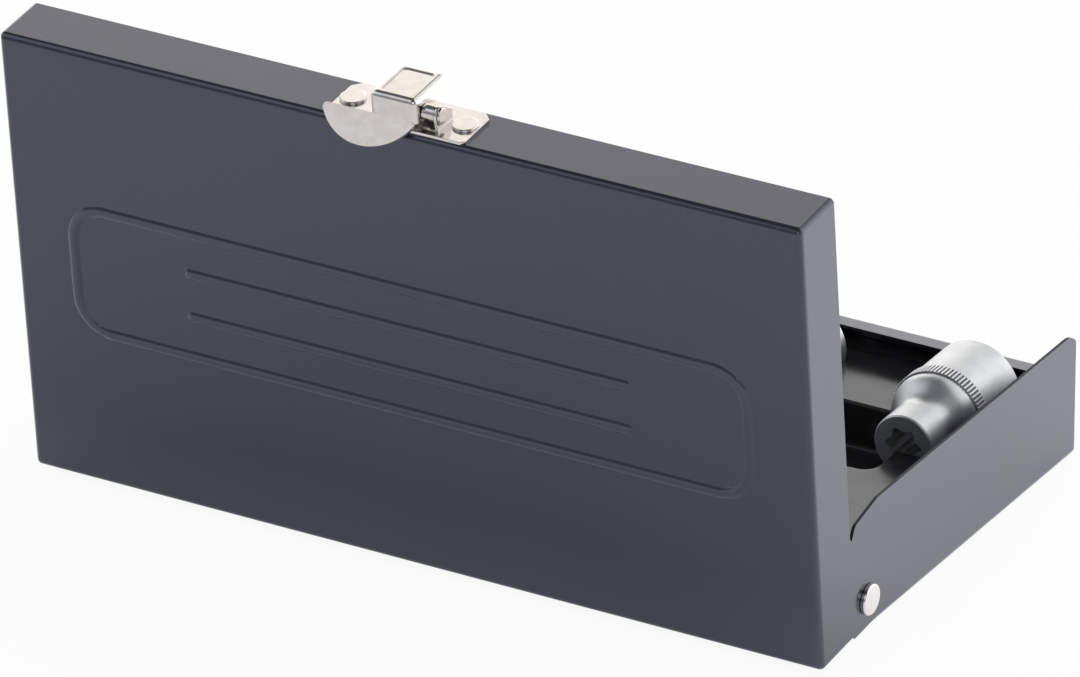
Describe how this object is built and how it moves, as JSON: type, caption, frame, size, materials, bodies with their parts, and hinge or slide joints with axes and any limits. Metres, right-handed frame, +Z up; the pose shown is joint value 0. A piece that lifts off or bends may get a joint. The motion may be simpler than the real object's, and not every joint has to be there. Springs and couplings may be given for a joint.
{
  "type": "socket set case",
  "caption": "Flat hinged sheet-steel case with a pressed lid, lever latch, moulded insert and drive sockets lying in cradles.",
  "frame": {"origin": "centre of the tray's underside", "axes": "+X along the length, -Y towards the latch side, +Z up"},
  "size_m": [0.2178, 0.1543, 0.131],
  "materials": {
    "dark_paint": "semi-gloss dark anthracite",
    "black_plastic": "gloss black moulding",
    "nickel": "bright nickel plate",
    "socket_steel": "satin chrome plate"
  },
  "bodies": {
    "tray": {"tray_shell": "dark_paint", "insert": "black_plastic", "hinge_rivet_left": "nickel", "hinge_rivet_right": "nickel", "hinge_washer_left": "nickel", "hinge_washer_right": "nickel", "strike_plate": "nickel", "strike_rivets": "nickel"},
    "lid": {"lid_shell": "dark_paint", "latch_base": "nickel", "latch_rivets": "nickel", "latch_pin": "nickel", "latch_spacer": "nickel"},
    "lever": {"latch_lever": "nickel"},
    "socket_1": {"socket_1": "socket_steel"},
    "socket_2": {"socket_2": "socket_steel"},
    "socket_3": {"socket_3": "socket_steel"},
    "socket_4": {"socket_4": "socket_steel"},
    "socket_5": {"socket_5": "socket_steel"},
    "socket_6": {"socket_6": "socket_steel"},
    "socket_7": {"socket_7": "socket_steel"},
    "socket_8": {"socket_8": "socket_steel"}
  },
  "joints": [
    {"name": "lid_hinge", "type": "hinge", "parent": "tray", "child": "lid", "pos_m": [0, 0.0522, 0.0109], "axis": [-1, 0, 0], "range_deg": [-96.14, 0]},
    {"name": "latch_pivot", "type": "hinge", "parent": "lid", "child": "lever", "pos_m": [0, 0.08294, 0.12547], "axis": [-1, 0, 0], "range_deg": [-8, 7]},
    {"name": "socket_1_lift", "type": "slide", "parent": "tray", "child": "socket_1", "axis": [0, 0, 1], "range_m": [0, 0.04]},
    {"name": "socket_2_lift", "type": "slide", "parent": "tray", "child": "socket_2", "axis": [0, 0, 1], "range_m": [0, 0.04]},
    {"name": "socket_3_lift", "type": "slide", "parent": "tray", "child": "socket_3", "axis": [0, 0, 1], "range_m": [0, 0.04]},
    {"name": "socket_4_lift", "type": "slide", "parent": "tray", "child": "socket_4", "axis": [0, 0, 1], "range_m": [0, 0.04]},
    {"name": "socket_5_lift", "type": "slide", "parent": "tray", "child": "socket_5", "axis": [0, 0, 1], "range_m": [0, 0.04]},
    {"name": "socket_6_lift", "type": "slide", "parent": "tray", "child": "socket_6", "axis": [0, 0, 1], "range_m": [0, 0.04]},
    {"name": "socket_7_lift", "type": "slide", "parent": "tray", "child": "socket_7", "axis": [0, 0, 1], "range_m": [0, 0.04]},
    {"name": "socket_8_lift", "type": "slide", "parent": "tray", "child": "socket_8", "axis": [0, 0, 1], "range_m": [0, 0.04]}
  ]
}
